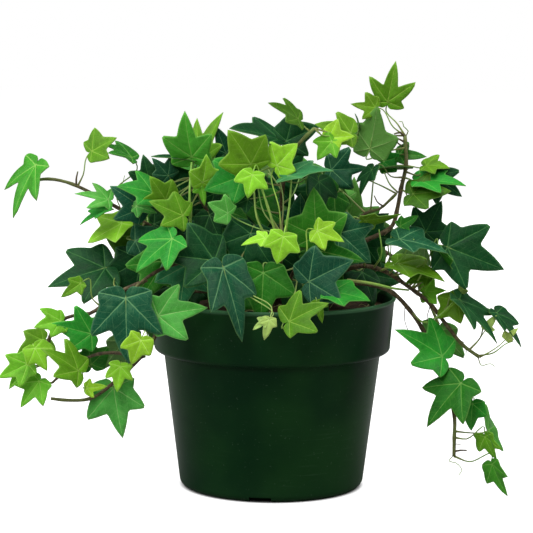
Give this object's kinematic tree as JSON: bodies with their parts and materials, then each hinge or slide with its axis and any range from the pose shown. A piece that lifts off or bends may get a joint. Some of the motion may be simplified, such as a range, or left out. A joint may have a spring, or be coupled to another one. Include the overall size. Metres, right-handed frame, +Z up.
{
  "type": "potted ivy",
  "caption": "Trailing ivy with lobed leaves on thin woody vines, rooted in a round tapered nursery pot with a deep collar; stands on its flat base.",
  "frame": {"origin": "centre of the pot's flat base, on the surface that it stands on", "axes": "+Z up along the pot's axis, -Y towards the plant's front, +X to the front's right"},
  "size_m": [0.3328, 0.2306, 0.2759],
  "materials": {
    "pot_plastic": "dark green satin moulded plastic, lightly scuffed",
    "potting_mix": "brown fibrous peat and bark potting mix",
    "vine_bark": "thin brown woody stem, green at the young end",
    "leaf_lime": "young lime green leaf, soft sheen, pale veins",
    "leaf_green": "mid green leaf, waxy sheen, pale veins",
    "leaf_dark": "old dark green leaf, waxy sheen, pale veins",
    "leaf_slate": "blue-green leaf, waxy sheen, pale veins"
  },
  "bodies": {
    "root": {"leaf_back_high": "leaf_dark", "leaf_back_left_high": "leaf_dark", "leaf_back_left_low": "leaf_slate", "leaf_back_left_side": "leaf_green", "leaf_back_low": "leaf_green", "leaf_back_right_high": "leaf_green", "leaf_back_right_low": "leaf_green", "leaf_back_right_side": "leaf_dark", "leaf_back_side": "leaf_slate", "leaf_crown_big": "leaf_dark", "leaf_crown_front": "leaf_green", "leaf_crown_left": "leaf_green", "leaf_crown_left_rear": "leaf_green", "leaf_crown_slate": "leaf_slate", "leaf_crown_top": "leaf_green", "leaf_front_big": "leaf_slate", "leaf_front_dark": "leaf_dark", "leaf_front_hanging": "leaf_slate", "leaf_front_left": "leaf_green", "leaf_front_lime": "leaf_lime", "leaf_front_rim": "leaf_lime", "leaf_front_slate": "leaf_slate", "leaf_front_under": "leaf_dark", "leaf_front_up": "leaf_green", "leaf_hanging_big": "leaf_dark", "leaf_hanging_edge": "leaf_slate", "leaf_hanging_high": "leaf_dark", "leaf_hanging_tip": "leaf_green", "leaf_left_big": "leaf_dark", "leaf_left_dark": "leaf_green", "leaf_left_end": "leaf_green", "leaf_left_foot": "leaf_green", "leaf_left_hanging": "leaf_green", "leaf_left_lime": "leaf_lime", "leaf_left_low": "leaf_green", "leaf_left_tip": "leaf_green", "leaf_peak": "leaf_green", "leaf_right_big": "leaf_dark", "leaf_right_end": "leaf_green", "leaf_right_inner": "leaf_green", "leaf_right_side": "leaf_green", "leaf_right_slate": "leaf_dark", "leaf_right_upright": "leaf_green", "nursery_pot": "pot_plastic", "potting_mix": "potting_mix", "vine_back": "vine_bark", "vine_back_left": "vine_bark", "vine_back_right": "vine_bark", "vine_front": "vine_bark", "vine_front_left": "vine_bark", "vine_front_right": "vine_bark", "vine_left_high": "vine_bark", "vine_left_inner": "vine_bark", "vine_left_middle": "vine_bark", "vine_left_outer": "vine_bark", "vine_right_hanging": "vine_bark", "vine_right_high": "vine_bark", "vine_right_low": "vine_bark", "vine_top": "vine_bark", "vine_upper_left": "vine_bark"}
  },
  "joints": []
}
